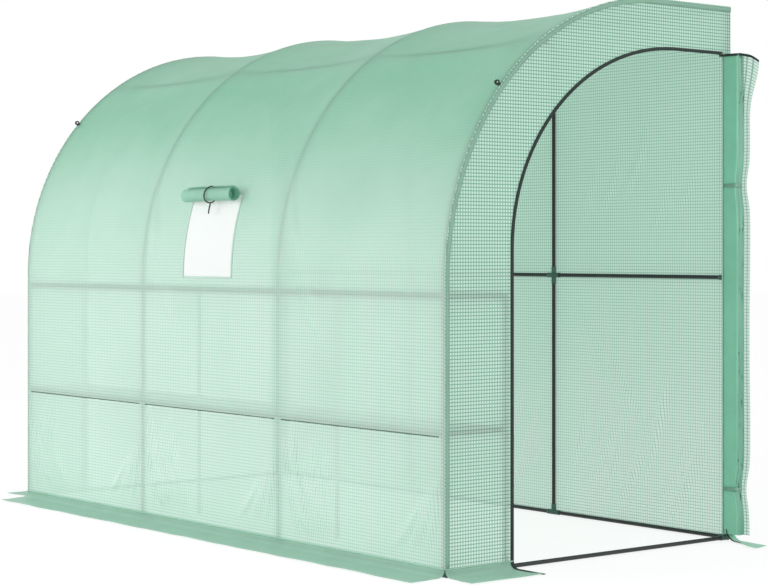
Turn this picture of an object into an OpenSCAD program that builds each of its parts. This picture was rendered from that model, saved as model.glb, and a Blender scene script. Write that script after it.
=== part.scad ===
// Lean-to plastic greenhouse: a steel tube frame with four hoops, staging
// along the front, and a sheet cover with a door at each end and a netted
// window. X runs along the wall, +Y points at the wall, +Z is up. The origin
// is on the ground, at the middle of everything that the greenhouse covers.

/* [Overall] */
// Length of the cover along the wall
length = 3000; // [2400:50:3600]
// Depth of the cover from its front to the wall
depth = 1500; // [1300:10:1800]
// Height of the flat top of the cover
height = 2125; // [1900:5:2600]
// Radius of the curved eave, from front to top
eave_r = 1085; // [950:5:1250]

/* [Tubes] */
// Outer diameter of the frame tubes
tube_d = 16; // [13:0.5:22]
// Wall of the frame tubes
tube_wall = 1; // [0.6:0.1:2]
// Height of the rail across the wall side
rear_rail_z = 1046; // [850:2:1250]
// Angle of the purlin round the eave, from the front
purlin_angle = 56; // [40:1:70]

/* [Fittings] */
// Wall of the plastic fittings
fit_wall = 2; // [1:0.25:4]
// Clearance of a tube in its fitting
fit_gap = 0.15; // [0.1:0.05:0.4]
// Reach of a fitting's sleeve from its centre
fit_arm = 36; // [26:1:50]
// Space between faces that seat on each other
seat = 0.3; // [0.2:0.1:0.5]

/* [Staging] */
// Depth of the staging, from the front of the cover to its inner posts
staging_y = 295; // [240:5:320]
// Height of the staging's top rails
staging_z = 988; // [800:2:1020]
// Height of the staging's lower rails
lower_z = 507; // [400:1:600]
// Thickness of the shelves' edge wires
rim_d = 4; // [3:0.5:6]
// Thickness of the shelves' cross wires
wire_d = 3; // [2:0.5:4]
// Cross wires along one shelf
shelf_wires = 9; // [5:1:14]
// Space between the end of a shelf and the hoop beside it
shelf_end = 22; // [16:1:40]

/* [Cover] */
// Thickness of the cover as it is modelled
sheet_t = 2; // [1:0.5:4]
// Height where the front sheet meets the eave sheets
seam_z = 970; // [850:5:1000]
// Radius of the turn from a wall to its ground skirt
skirt_r = 28; // [16:2:60]
// Width of the ground skirts
skirt_w = 172; // [120:4:220]
// Width of the skirt of a door flap
flap_skirt_w = 240; // [150:5:300]

/* [Doors] */
// Distance from the front to the door opening
door_front = 325; // [305:5:450]
// Distance from the door opening to the wall
door_rear = 50; // [45:5:140]
// Height of the door opening
door_h = 1930; // [1700:5:1960]
// Half width of the rounded corner of the door opening
door_ry = 860; // [500:10:900]
// Height of the rounded corner of the door opening
door_rz = 770; // [500:10:850]
// Width of the zip tape
tape_w = 12; // [8:1:25]
// Thickness of the zip tape
tape_t = 2; // [1:0.5:3]
// Reach of the gathered door flap from the end of the greenhouse
flap_reach = 80; // [60:5:120]
// Reach of the gathered door flap at its top
flap_top_reach = 135; // [120:5:170]
// Height where the gathered door flap begins to fan out
flap_fan_z = 1720; // [1600:10:1800]
// Thickness of the gathered door flap, along the end
flap_t = 42; // [32:2:72]

/* [Window] */
// Width of the window
win_w = 345; // [250:5:450]
// Height of the lower edge of the window above the foot of the eave
win_rise = 6; // [2:2:60]
// Height of the window
win_h = 336; // [250:2:450]
// Diameter of the rolled window flap
roll_d = 68; // [50:2:90]
// Length of the rolled window flap
roll_len = 350; // [250:2:520]
// Thickness of the cord that ties the roll
tie_d = 4; // [2:0.5:6]
// Length of the tie's loose end
tie_tail = 42; // [20:2:80]
// Distance of the tie from the middle of the roll
tie_x = 10; // [0:2:100]
// Radius of the cord loops for guy ropes
loop_r = 9; // [6:0.5:14]
// Angle of the cord loops round the eave, from the front
loop_angle = 41; // [30:1:55]

/* [Hidden] */
$fn = 64;

// Bays between the four hoops
bays = 3;
tube_r = tube_d / 2;
fit_r = tube_r + fit_gap + fit_wall;
eps = 1;
// Middle of a tube behind the cover, measured from the cover's outer face
inset = sheet_t + seat + fit_r;

// Front and wall faces of the cover, set so that the origin is in the middle
front_y = skirt_w - (depth + skirt_w) / 2;
wall_y = front_y + depth;
end_x = length / 2;

// Middle lines of the frame tubes
hoop_x0 = -end_x + inset;
bay = (length - 2 * inset) / bays;
function hoop_x(i) = hoop_x0 + i * bay;
leg_y = front_y + inset;
post_y = wall_y - inset;
base_z = fit_r;
top_z = height - inset;
stage_y = front_y + staging_y;

// Centre of the eave's curve, and the radius of the hoops' middle line
eave_y = front_y + eave_r;
eave_z = height - eave_r;
hoop_r = eave_r - inset;
purlin_r = hoop_r - tube_d - 2 * seat;
win_z0 = eave_z + win_rise;
win_z1 = win_z0 + win_h;

skirt_top = skirt_r + sheet_t;
door_y0 = front_y + door_front;
door_y1 = wall_y - door_rear;
door_spring = door_h - door_rz;
steel = [0.10, 0.11, 0.11];
plastic = [0.27, 0.43, 0.39];
mint = [0.72, 0.90, 0.82];
deep_mint = [0.50, 0.73, 0.64];
tape = [0.02, 0.16, 0.13];

// ---- shapes that repeat ----

// Round bar of radius r along an axis, from p to q
module bar(axis, p, q, r) {
  turn = axis == "x" ? [0, 90, 0] : axis == "y" ? [-90, 0, 0] : [0, 0, 0];
  rotate(turn) translate([0, 0, p]) cylinder(h = q - p, r = r);
}

module tube(axis, p, q) {
  difference() {
    bar(axis, p, q, tube_r);
    bar(axis, p - eps, q + eps, tube_r - tube_wall);
  }
}

// Fitting of sleeves that cross at its centre; each span is [axis, from, to],
// and a span that ends fit_r from the centre is closed there
module fitting(spans) {
  difference() {
    for (s = spans) bar(s[0], s[1], s[2], fit_r);
    for (s = spans)
      bar(s[0], s[1] == -fit_r ? -tube_r - seat : s[1] - eps,
        s[2] == fit_r ? tube_r + seat : s[2] + eps, tube_r + fit_gap);
  }
}

// Span along X of a fitting on hoop i: closed at an end hoop
function span_x(i) = ["x", i == 0 ? -fit_r : -fit_arm, i == bays ? fit_r : fit_arm];

// The same where the rails are only on the inner side of an end hoop
function branch_x(i) = ["x", i == 0 ? 0 : -fit_arm, i == bays ? 0 : fit_arm];

// Rails between neighbouring uprights, each stopping short of the tube it meets
module bay_rails(y, z) {
  for (i = [0 : bays - 1])
    translate([hoop_x(i), y, z]) tube("x", tube_r + seat, bay - tube_r - seat);
}

// A drawing in Y and Z, drawn out along X
module along_x(x0, x1) {
  translate([x0, 0, 0]) rotate([90, 0, 90]) linear_extrude(x1 - x0) children();
}

// A right-end piece, mirrored to the left end
module left() {
  mirror([1, 0, 0]) children();
}

// ---- steel frame ----

module hoop(i) {
  color(steel) translate([hoop_x(i), 0, 0]) {
    translate([0, leg_y, 0]) tube("z", base_z + tube_r + seat, eave_z);
    translate([0, eave_y, eave_z]) rotate([90, 0, 90]) rotate([0, 0, 90])
      rotate_extrude(angle = 90) translate([hoop_r, 0]) difference() {
        circle(tube_r);
        circle(tube_r - tube_wall);
      }
    translate([0, 0, top_z]) tube("y", eave_y, post_y - tube_r - seat);
  }
}

module rear_posts() {
  color(steel) for (i = [0 : bays])
    translate([hoop_x(i), post_y, 0]) tube("z", base_z + tube_r + seat, top_z - tube_r - seat);
}

// Rail in one length through the fittings of all the hoops
module long_rail(y, z) {
  color(steel) translate([0, y, z]) tube("x", hoop_x(0) - tube_r, hoop_x(bays) + tube_r);
}

module base_rail_front() long_rail(leg_y, base_z);
module base_rail_rear() long_rail(post_y, base_z);
module top_rail_rear() long_rail(post_y, top_z);

module base_rails_end() {
  color(steel) for (x = [hoop_x(0), hoop_x(bays)])
    translate([x, 0, base_z]) tube("y", leg_y + tube_r + seat, post_y - tube_r - seat);
}

module mid_rails_rear() {
  color(steel) bay_rails(post_y, rear_rail_z);
}

module mid_rails_front() {
  color(steel) bay_rails(leg_y, staging_z);
}

// The purlin runs under the hoops
module eave_purlin() {
  color(steel)
    translate([0, eave_y - purlin_r * cos(purlin_angle), eave_z + purlin_r * sin(purlin_angle)])
      tube("x", hoop_x(0) - tube_r, hoop_x(bays) + tube_r);
}

// ---- staging along the front ----

// The end posts stand on the end rails, and the others on feet
foot_z = 3;
function post_foot(i) = i == 0 || i == bays ? base_z + tube_r + seat : foot_z + seat;

module staging_posts() {
  color(steel) for (i = [0 : bays])
    translate([hoop_x(i), stage_y, 0]) tube("z", post_foot(i), staging_z + tube_r);
}

module staging_rails_inner() {
  color(steel) {
    bay_rails(stage_y, staging_z);
    bay_rails(stage_y, lower_z);
  }
}

module staging_rails_low_front() {
  color(steel) bay_rails(leg_y, lower_z);
}

module staging_rails_cross() {
  color(steel) for (i = [0 : bays], z = [staging_z, lower_z])
    translate([hoop_x(i), 0, z]) tube("y", leg_y + tube_r + seat, stage_y - tube_r - seat);
}

// Flat wire shelf of one bay, with its middle plane at height z
module wire_shelf(i, y0, y1, z) {
  x0 = hoop_x(i) + shelf_end;
  x1 = hoop_x(i + 1) - shelf_end;
  step = (x1 - x0 - rim_d) / (shelf_wires + 1);
  color(steel) translate([0, 0, z]) {
    for (y = [y0, y1 - rim_d]) translate([x0, y, -rim_d / 2]) cube([x1 - x0, rim_d, rim_d]);
    for (x = [x0, x1 - rim_d]) translate([x, y0, -rim_d / 2]) cube([rim_d, y1 - y0, rim_d]);
    for (k = [1 : shelf_wires])
      translate([x0 + rim_d / 2 + k * step - wire_d / 2, y0 + rim_d / 2, -wire_d / 2])
        cube([wire_d, y1 - y0 - rim_d, wire_d]);
  }
}

// The top shelves lie on the sleeves of their rails, and the lower ones hang under theirs
module shelf_top() {
  for (i = [0 : bays - 1])
    wire_shelf(i, leg_y - tube_r, stage_y + tube_r, staging_z + fit_r + seat + rim_d / 2);
}

module shelf_low() {
  for (i = [0 : bays - 1])
    wire_shelf(i, front_y + sheet_t + seat, stage_y + tube_r,
      lower_z - fit_r - seat - rim_d / 2);
}

// ---- fittings ----

module base_fittings() {
  color(plastic) for (i = [0 : bays]) {
    corner = i == 0 || i == bays;
    translate([hoop_x(i), leg_y, base_z])
      fitting(concat([span_x(i), ["z", 0, fit_arm]], corner ? [["y", 0, fit_arm]] : []));
    translate([hoop_x(i), post_y, base_z])
      fitting(concat([span_x(i), ["z", 0, fit_arm]], corner ? [["y", -fit_arm, 0]] : []));
  }
}

// Crosses at mid height, and corners along the top of the wall side
module rear_fittings() {
  color(plastic) for (i = [0 : bays]) {
    translate([hoop_x(i), post_y, rear_rail_z]) fitting([["z", -fit_arm, fit_arm], branch_x(i)]);
    translate([hoop_x(i), post_y, top_z])
      fitting([span_x(i), ["z", -fit_arm, 0], ["y", -fit_arm, 0]]);
  }
}

module front_fittings() {
  color(plastic) for (i = [0 : bays], z = [staging_z, lower_z])
    translate([hoop_x(i), leg_y, z])
      fitting([["z", -fit_arm, fit_arm], branch_x(i), ["y", 0, fit_arm]]);
}

module staging_fittings() {
  color(plastic) for (i = [0 : bays]) {
    translate([hoop_x(i), stage_y, staging_z])
      fitting([["z", -fit_arm, fit_r], branch_x(i), ["y", -fit_arm, 0]]);
    translate([hoop_x(i), stage_y, lower_z])
      fitting([["z", -fit_arm, fit_arm], branch_x(i), ["y", -fit_arm, 0]]);
    if (i == 0 || i == bays)
      translate([hoop_x(i), stage_y, base_z]) fitting([["y", -fit_arm, fit_arm], ["z", 0, fit_arm]]);
  }
}

module staging_feet() {
  color(plastic) for (i = [1 : bays - 1])
    translate([hoop_x(i), stage_y, 0]) difference() {
      bar("z", 0, fit_arm, fit_r + fit_wall);
      bar("z", foot_z, fit_arm + eps, tube_r + fit_gap);
    }
}

// Short sleeve on a hoop, joined to one on the purlin under it
clip_w = 24;
module purlin_clips() {
  color(plastic) for (i = [0 : bays])
    translate([hoop_x(i), eave_y, eave_z]) rotate([90 - purlin_angle, 0, 0]) difference() {
      union() {
        translate([0, 0, hoop_r]) bar("y", -clip_w / 2, clip_w / 2, fit_r);
        translate([0, 0, purlin_r]) bar("x", -fit_r, fit_r, fit_r);
      }
      translate([0, 0, hoop_r]) bar("y", -clip_w, clip_w, tube_r + 2 * fit_gap);
      translate([0, 0, purlin_r]) bar("x", -clip_w, clip_w, tube_r + fit_gap);
    }
}

// ---- sheet cover ----

// Quarter ring about the origin between two radii, in the upper left
module quarter_ring(r0, r1) {
  intersection() {
    difference() {
      circle(r1, $fn = 180);
      circle(r0, $fn = 180);
    }
    translate([-r1 - eps, 0]) square([r1 + eps, r1 + eps]);
  }
}

module front_sheet() {
  color(mint) translate([-end_x, front_y, skirt_top + seat])
    cube([length, sheet_t, seam_z - skirt_top - 2 * seat]);
}

// Front edge of the eave, rising from the seam and round to the top
module eave_sheet(x0, x1) {
  color(mint) along_x(x0, x1) {
    translate([front_y, seam_z]) square([sheet_t, eave_z - seam_z]);
    translate([eave_y, eave_z]) quarter_ring(eave_r - sheet_t, eave_r);
  }
}

side_x = bay / 2;
module eave_sheet_left() eave_sheet(-end_x, -side_x - seat / 2);
module eave_sheet_right() eave_sheet(side_x + seat / 2, end_x);

module window_block(gap) {
  translate([-win_w / 2 + gap, front_y - eps, win_z0 + gap])
    cube([win_w - 2 * gap, eave_r / 2, win_z1 - win_z0 - 2 * gap]);
}

module eave_sheet_middle() {
  difference() {
    eave_sheet(-side_x + seat / 2, side_x - seat / 2);
    window_block(0);
  }
}

module top_sheet() {
  color(mint) translate([-end_x, eave_y + seat, height - sheet_t])
    cube([length, wall_y - eave_y - seat, sheet_t]);
}

module rear_sheet() {
  color(mint) translate([-end_x, wall_y - sheet_t, 0])
    cube([length, sheet_t, height - sheet_t - seat]);
}

// Outline of an end, inside the front, eave, top and wall sheets
lap = sheet_t + seat;
module end_outline() {
  translate([front_y + lap, 0]) square([depth - 2 * lap, eave_z]);
  translate([eave_y, eave_z]) intersection() {
    circle(eave_r - lap, $fn = 180);
    translate([-eave_r, 0]) square([eave_r, eave_r]);
  }
  translate([eave_y, 0]) square([wall_y - lap - eave_y, height - lap]);
}

// Door opening with a rounded front corner, grown by d
door_steps = 24;
function door_points(d) = concat(
  [[door_y1 + d, 0], [door_y0 - d, 0]],
  [for (k = [0 : door_steps]) let (a = 90 * k / door_steps)
    [door_y0 + door_ry - (door_ry + d) * cos(a), door_spring + (door_rz + d) * sin(a)]],
  [[door_y1 + d, door_h + d]]);

module end_part(y0, y1, z0, z1) {
  color(mint) along_x(end_x - sheet_t, end_x) difference() {
    intersection() {
      end_outline();
      translate([y0, z0]) square([y1 - y0, z1 - z0]);
    }
    polygon(door_points(0));
  }
}

module right_end_panel()
  end_part(front_y, door_y0, skirt_top + seat, door_spring - seat / 2);
module right_end_arch()
  end_part(front_y, wall_y, door_spring + seat / 2, height);
module right_end_strip()
  end_part(door_y1, wall_y, skirt_top + seat, door_spring - seat / 2);

module left_end_panel() left() right_end_panel();
module left_end_arch() left() right_end_arch();
module left_end_strip() left() right_end_strip();

// ---- ground skirts ----

// Section of a skirt: u points away from the wall, whose outer face is at u = 0
module skirt_section(width) {
  translate([skirt_r, skirt_top]) mirror([0, 1])
    quarter_ring(skirt_r, skirt_r + sheet_t);
  translate([skirt_r, 0]) square([width - skirt_r, sheet_t]);
}

module front_skirt() {
  color(deep_mint) translate([-end_x, front_y, 0]) rotate([90, 0, 90]) mirror([1, 0, 0])
    linear_extrude(length) skirt_section(skirt_w);
}

// Skirt along the right end, from y0 to y1
module end_skirt(y0, y1, width) {
  color(deep_mint) translate([end_x, y1, 0]) rotate([90, 0, 0])
    linear_extrude(y1 - y0) skirt_section(width);
}

flap_y0 = door_y1 + 2;
flap_y1 = flap_y0 + flap_t;
module end_skirts() {
  end_skirt(front_y + lap, door_y0, skirt_w);
  left() end_skirt(front_y + lap, door_y0, skirt_w);
}

module flap_skirts() {
  end_skirt(flap_y0 - flap_t, wall_y - lap, flap_skirt_w);
  left() end_skirt(flap_y0 - flap_t, wall_y - lap, flap_skirt_w);
}

// ---- doors ----

module door_tape() {
  color(tape) along_x(end_x + seat, end_x + seat + tape_t) difference() {
    polygon(door_points(tape_w));
    polygon(door_points(0));
    translate([door_y0 - 2 * tape_w, 0]) square([depth, skirt_top + seat]);
    translate([door_y1, 0]) square([depth, height]);
  }
}

module door_tapes() {
  door_tape();
  left() door_tape();
}

// Door flap drawn to the wall side and tied: narrow where the ties hold it,
// and fanned out at its top
tie_low_z = 210;
tie_high_z = 1410;
waist = 0.82;
module door_flap() {
  color(deep_mint) translate([end_x + seat, flap_y1, 0]) rotate([90, 0, 0])
    linear_extrude(flap_t) polygon([
      [0, skirt_top + seat], [flap_reach, skirt_top + seat], [flap_reach * waist, tie_low_z],
      [flap_reach, (tie_low_z + tie_high_z) / 2], [flap_reach * waist, tie_high_z],
      [flap_reach, flap_fan_z],
      [flap_top_reach, door_h - 2 * tape_w], [flap_top_reach, door_h], [0, door_h]
    ]);
}

module right_door_flap() door_flap();
module left_door_flap() left() door_flap();

// Bands round the gathered flaps
band_w = 14;
module flap_tie(z) {
  reach = flap_reach * waist;
  color(deep_mint) translate([end_x, flap_y0 - lap, z - band_w / 2]) difference() {
    cube([reach + 3 * lap, flap_t + 2 * lap, band_w]);
    translate([-eps, sheet_t, -eps]) cube([reach + eps + 2 * lap, flap_t + 2 * seat, band_w + 2 * eps]);
  }
}

module flap_ties() {
  for (z = [tie_low_z, tie_high_z]) {
    flap_tie(z);
    left() flap_tie(z);
  }
}

// ---- window and small pieces ----

net_t = 1;
module window_net() {
  color("white") intersection() {
    along_x(-win_w / 2, win_w / 2) translate([eave_y, eave_z])
      quarter_ring(eave_r - (sheet_t + net_t) / 2, eave_r - (sheet_t - net_t) / 2);
    window_block(seat);
  }
}

// The roll hangs in its tie, clear of the eave sheet by the tie's thickness
roll_away = eave_r + tie_d + 2 * seat + roll_d / 2;
roll_angle = asin((win_z1 - eave_z) / roll_away);
roll_y = eave_y - roll_away * cos(roll_angle);

module window_roll() {
  color(deep_mint) translate([0, roll_y, win_z1])
    bar("x", -roll_len / 2, roll_len / 2, roll_d / 2);
}

module window_tie() {
  ring_r = roll_d / 2 + seat + tie_d / 2;
  color("black") translate([tie_x, roll_y, win_z1]) {
    rotate([0, 90, 0]) rotate_extrude() translate([ring_r, 0]) circle(tie_d / 2, $fn = 24);
    translate([0, 0, -ring_r]) bar("z", -tie_tail, 0, tie_d / 2);
  }
}

// Loops of cord on the two end hoops, standing on the eave sheet
loop_cord = 4;
module guy_loops() {
  away = eave_r + seat + loop_r + loop_cord / 2;
  color("black") for (x = [hoop_x(0), hoop_x(bays)])
    translate([x, eave_y - away * cos(loop_angle), eave_z + away * sin(loop_angle)])
      rotate([0, 90, 0]) rotate_extrude() translate([loop_r, 0]) circle(loop_cord / 2, $fn = 24);
}

hoop(0);  // hoop_1
hoop(1);  // hoop_2
hoop(2);  // hoop_3
hoop(3);  // hoop_4
rear_posts();
base_rail_front();
base_rail_rear();
base_rails_end();
top_rail_rear();
mid_rails_rear();
mid_rails_front();
eave_purlin();
staging_posts();
staging_rails_inner();
staging_rails_low_front();
staging_rails_cross();
shelf_top();
shelf_low();
base_fittings();
rear_fittings();
front_fittings();
staging_fittings();
purlin_clips();
staging_feet();
front_sheet();
eave_sheet_left();
eave_sheet_middle();
eave_sheet_right();
top_sheet();
rear_sheet();
right_end_panel();
right_end_arch();
right_end_strip();
left_end_panel();
left_end_arch();
left_end_strip();
front_skirt();
end_skirts();
flap_skirts();
door_tapes();
right_door_flap();
left_door_flap();
flap_ties();
window_net();
window_roll();
window_tie();
guy_loops();
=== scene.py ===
import math
import bpy
import numpy as np
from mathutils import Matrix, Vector


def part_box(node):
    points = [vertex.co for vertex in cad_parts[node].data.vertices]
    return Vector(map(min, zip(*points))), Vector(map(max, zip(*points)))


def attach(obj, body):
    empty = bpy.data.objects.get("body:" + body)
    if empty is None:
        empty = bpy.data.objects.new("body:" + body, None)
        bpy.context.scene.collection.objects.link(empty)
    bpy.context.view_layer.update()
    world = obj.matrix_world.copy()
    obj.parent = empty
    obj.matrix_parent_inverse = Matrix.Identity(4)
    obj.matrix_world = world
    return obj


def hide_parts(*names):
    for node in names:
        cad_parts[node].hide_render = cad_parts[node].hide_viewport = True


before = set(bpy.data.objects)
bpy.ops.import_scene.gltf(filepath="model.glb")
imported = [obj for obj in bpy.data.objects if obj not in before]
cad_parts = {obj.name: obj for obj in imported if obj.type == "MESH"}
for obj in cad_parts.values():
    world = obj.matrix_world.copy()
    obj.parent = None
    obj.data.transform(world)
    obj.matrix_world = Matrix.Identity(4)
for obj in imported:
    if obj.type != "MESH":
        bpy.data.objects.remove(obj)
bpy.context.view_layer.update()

# ---- Camera ----
# A long lens at eye height, looking at the front and the right end.
camera_data = bpy.data.cameras.new("camera")
camera_data.lens = 93.85
camera_data.sensor_width = 36.0
camera_data.shift_y = -0.0557
camera = bpy.data.objects.new("camera", camera_data)
camera.location = (6.845, -5.245, 1.154)
camera.rotation_euler = (math.radians(90.0), 0.0, math.radians(51.14))
bpy.context.scene.collection.objects.link(camera)
bpy.context.scene.camera = camera

# ---- Steel tubes ----
# Round steel tube, 16 mm across, bent or cut to length and powder coated in
# near-black. The coat is a little uneven, which shows in the highlights.


def linear(hex_colour):
    """sRGB hex to linear colour, with alpha."""
    out = []
    for k in (1, 3, 5):
        c = int(hex_colour[k : k + 2], 16) / 255
        out.append(c / 12.92 if c <= 0.04045 else ((c + 0.055) / 1.055) ** 2.4)
    return (*out, 1.0)


def per_metre(mm):
    """Texture scale of a pattern whose real size is given in millimetres."""
    return 1000.0 / mm


def node(tree, kind, settings=None, **links):
    """Adds a shader node: settings are its properties, links its inputs by name or place."""
    n = tree.nodes.new("ShaderNode" + kind)
    for name, value in (settings or {}).items():
        setattr(n, name, value)
    for name, value in links.items():
        key = int(name[1:]) if name[0] == "i" and name[1:].isdigit() else name.replace("_", " ")
        socket = n.inputs[key]
        if isinstance(value, bpy.types.NodeSocket):
            tree.links.new(value, socket)
        else:
            socket.default_value = value
    return n


def material(name):
    """A new material with an empty tree and its output node."""
    m = bpy.data.materials.new(name)
    m.use_nodes = True
    m.node_tree.nodes.clear()
    out = m.node_tree.nodes.new("ShaderNodeOutputMaterial")
    return m, m.node_tree, out


def powder_coat():
    # Powder coat on steel: satin black with a faint orange-peel in its shine.
    m, t, out = material("powder_coated_steel")
    place = node(t, "TexCoord").outputs["Object"]
    peel = node(t, "TexNoise", Vector=place, Scale=per_metre(1.11), Detail=2.0)
    patch = node(t, "TexNoise", Vector=place, Scale=per_metre(111), Detail=3.0)
    tone = node(t, "Mix", {"data_type": "RGBA"}, i0=patch.outputs["Fac"],
                i6=linear("#15181A"), i7=linear("#22272A"))
    rough = node(t, "MapRange", Value=patch.outputs["Fac"], i3=0.34, i4=0.46)
    bump = node(t, "Bump", Height=peel.outputs["Fac"], Strength=0.12, Distance=0.0002)
    coat = node(t, "BsdfPrincipled", Base_Color=tone.outputs[2], Roughness=rough.outputs[0],
                Normal=bump.outputs[0])
    t.links.new(coat.outputs[0], out.inputs[0])
    return m


TUBES = ["hoop_1", "hoop_2", "hoop_3", "hoop_4", "rear_posts", "base_rail_front", "base_rail_rear",
         "base_rails_end", "top_rail_rear", "mid_rails_rear", "mid_rails_front", "eave_purlin",
         "staging_posts", "staging_rails_inner", "staging_rails_low_front", "staging_rails_cross"]


def finish_nodes(names, finish):
    """Gives CAD nodes their material."""
    for name in names:
        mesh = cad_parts[name].data
        mesh.materials.clear()
        mesh.materials.append(finish)


steel = powder_coat()
finish_nodes(TUBES, steel)

# ---- Fittings ----
# Push-fit crosses, tees and corners moulded in grey-green plastic. The mould
# leaves a fine matte grain.


def moulded_plastic():
    # Polypropylene: matte, slightly translucent looking, with a fine spark grain.
    m, t, out = material("moulded_polypropylene")
    place = node(t, "TexCoord").outputs["Object"]
    grain = node(t, "TexNoise", Vector=place, Scale=per_metre(0.714), Detail=2.0)
    patch = node(t, "TexNoise", Vector=place, Scale=per_metre(40), Detail=3.0)
    tone = node(t, "Mix", {"data_type": "RGBA"}, i0=patch.outputs["Fac"],
                i6=linear("#3B5B52"), i7=linear("#4C7166"))
    bump = node(t, "Bump", Height=grain.outputs["Fac"], Strength=0.25, Distance=0.0002)
    body = node(t, "BsdfPrincipled", Base_Color=tone.outputs[2], Roughness=0.55,
                IOR=1.49, Normal=bump.outputs[0])
    t.links.new(body.outputs[0], out.inputs[0])
    return m


plastic = moulded_plastic()
finish_nodes(["base_fittings", "rear_fittings", "front_fittings", "staging_fittings",
              "purlin_clips", "staging_feet"], plastic)

# ---- Main sheet ----
# One long panel of coated mesh runs from the ground up the front, round the
# eave and over to the wall. It is pulled tight over the hoops and sinks
# between them. Polyethylene film with a woven scrim of thicker threads.
front_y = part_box("front_sheet")[0][1]
wall_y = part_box("rear_sheet")[1][1]
end_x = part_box("front_sheet")[1][0]
top_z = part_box("top_sheet")[1][2]
eave_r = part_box("eave_sheet_left")[1][1] - front_y
eave_y = front_y + eave_r
eave_z = top_z - eave_r
hem_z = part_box("front_skirt")[1][2]
hoop_x = [sum(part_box(f"hoop_{k}")[s][0] for s in (0, 1)) / 2 for k in (1, 2, 3, 4)]
LIE = 0.001  # how far inside the cover's outline the sheet lies on the flat front
ON_TUBE = 0.0019  # the same where it passes over a hoop
SAG = 0.029  # how far it sinks between two hoops
PURLIN_ANGLE = math.radians(56)  # where the purlin runs, up the eave
PURLIN_SINK = 0.0185  # the depth at which the purlin stops the sheet
EDGE_R = 0.010  # how round the sheet turns over an end hoop
PITCH = 0.0127  # from thread to thread of the scrim, half an inch


def smooth(a, b, v):
    """A smooth step from 0 at a to 1 at b."""
    t = np.clip((v - a) / (b - a), 0.0, 1.0)
    return t * t * (3 - 2 * t)


def waves(a, b, scale, seed):
    """Soft uneven waves, from a few sines whose directions and phases the seed sets."""
    rng = np.random.default_rng(seed)
    total = np.zeros(np.broadcast(a, b).shape)
    for _ in range(9):
        turn, phase = rng.uniform(0, 2 * math.pi, 2)
        step = scale * rng.uniform(0.6, 1.7)
        total += np.sin((a * math.cos(turn) + b * math.sin(turn)) * 2 * math.pi / step + phase)
    return total / 9


def fold(a, b, start, end, width, height, bend=0.0):
    """A fold in a sheet that rises and dies away along a line, bowed by bend."""
    ax, bx = start
    da, db = end[0] - ax, end[1] - bx
    size = math.hypot(da, db)
    along = ((a - ax) * da + (b - bx) * db) / size**2
    across = ((a - ax) * db - (b - bx) * da) / size - bend * 4 * along * (1 - along)
    lift = np.clip(np.sin(math.pi * np.clip(along, 0, 1)), 0, 1) ** 0.7
    side = across / (width * (0.7 + 0.6 * along))
    return height * lift * np.exp(-side * side) * (1 - 0.8 * np.tanh(side) ** 2)


def make_mesh(name, verts, faces, threads=None, finish=None):
    """A piece from points and faces; threads are two lengths in metres at each point."""
    mesh = bpy.data.meshes.new(name)
    mesh.from_pydata([tuple(v) for v in verts], [], faces)
    mesh.validate()
    if threads is not None:
        layer = mesh.uv_layers.new(name="threads")
        flat = np.asarray(threads, float)
        index = np.empty(len(mesh.loops), int)
        mesh.loops.foreach_get("vertex_index", index)
        layer.data.foreach_set("uv", flat[index].ravel())
    for p in mesh.polygons:
        p.use_smooth = True
    if finish is not None:
        mesh.materials.append(finish)
    obj = bpy.data.objects.new(name, mesh)
    bpy.context.scene.collection.objects.link(obj)
    return obj


def grid_faces(rows, cols, keep=None):
    """Faces of a grid of points; keep is a table of the cells to keep."""
    faces = []
    for i in range(rows - 1):
        for j in range(cols - 1):
            if keep is None or keep[i][j]:
                k = i * cols + j
                faces.append((k, k + 1, k + cols + 1, k + cols))
    return faces


def drop_loose(verts, faces, threads):
    """Leaves out the points that no face uses."""
    used = np.unique(np.array(faces))
    place = np.full(len(verts), -1)
    place[used] = np.arange(len(used))
    return verts[used], [tuple(int(place[k]) for k in f) for f in faces], threads[used]


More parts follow.
